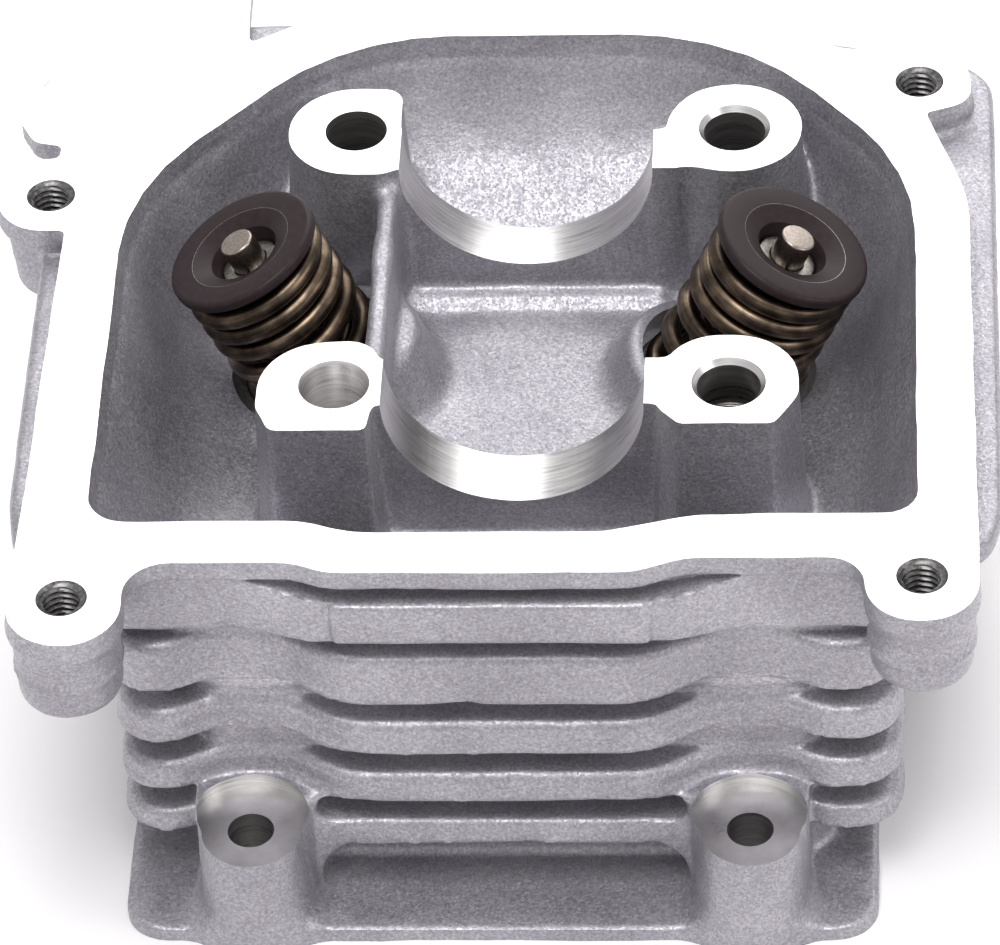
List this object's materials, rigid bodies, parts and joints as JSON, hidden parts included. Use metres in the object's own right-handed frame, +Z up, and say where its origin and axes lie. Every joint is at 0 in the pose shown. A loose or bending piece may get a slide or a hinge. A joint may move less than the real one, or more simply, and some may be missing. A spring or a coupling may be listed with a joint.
{
  "type": "cylinder head",
  "caption": "Air-cooled two-valve engine cylinder head, finned aluminium, with tilted valves under coil springs, camshaft cradle, stud towers and chain tunnel.",
  "frame": {"origin": "centre of the four stud holes on the cylinder gasket face", "axes": "+X towards the intake port, +Y away from the chain tunnel, +Z up to the rocker cover face"},
  "size_m": [0.1411, 0.1454, 0.0683],
  "materials": {
    "cast_aluminium": "as cast, with faces milled bright",
    "valve_steel": "ground",
    "bright_steel": "turned",
    "black_oxide_steel": "black oxide, satin",
    "spring_wire": "oil-tempered wire",
    "seal_rubber": "moulded",
    "guide_metal": "machined"
  },
  "bodies": {
    "head": {"head_casting": "cast_aluminium", "stud_hole_dowel": "bright_steel", "intake_outer_spring": "spring_wire", "intake_inner_spring": "spring_wire", "intake_spring_seat": "bright_steel", "intake_stem_seal": "seal_rubber", "intake_valve_guide": "guide_metal", "intake_seat_insert": "valve_steel", "exhaust_outer_spring": "spring_wire", "exhaust_inner_spring": "spring_wire", "exhaust_spring_seat": "bright_steel", "exhaust_stem_seal": "seal_rubber", "exhaust_valve_guide": "guide_metal", "exhaust_seat_insert": "valve_steel"},
    "intake_valve_train": {"intake_valve": "valve_steel", "intake_retainer": "black_oxide_steel", "intake_keeper_left": "bright_steel", "intake_keeper_right": "bright_steel"},
    "exhaust_valve_train": {"exhaust_valve": "valve_steel", "exhaust_retainer": "black_oxide_steel", "exhaust_keeper_left": "bright_steel", "exhaust_keeper_right": "bright_steel"}
  },
  "joints": [
    {"name": "intake_valve_lift", "type": "slide", "parent": "head", "child": "intake_valve_train", "axis": [-0.4147, 0, -0.91], "range_m": [0, 0.0058], "stiffness_N_per_m": 3000, "springref_m": -0.008, "deforming": ["intake_outer_spring", "intake_inner_spring"]},
    {"name": "exhaust_valve_lift", "type": "slide", "parent": "head", "child": "exhaust_valve_train", "axis": [0.4147, 0, -0.91], "range_m": [0, 0.0058], "stiffness_N_per_m": 3000, "springref_m": -0.008, "deforming": ["exhaust_outer_spring", "exhaust_inner_spring"]}
  ]
}
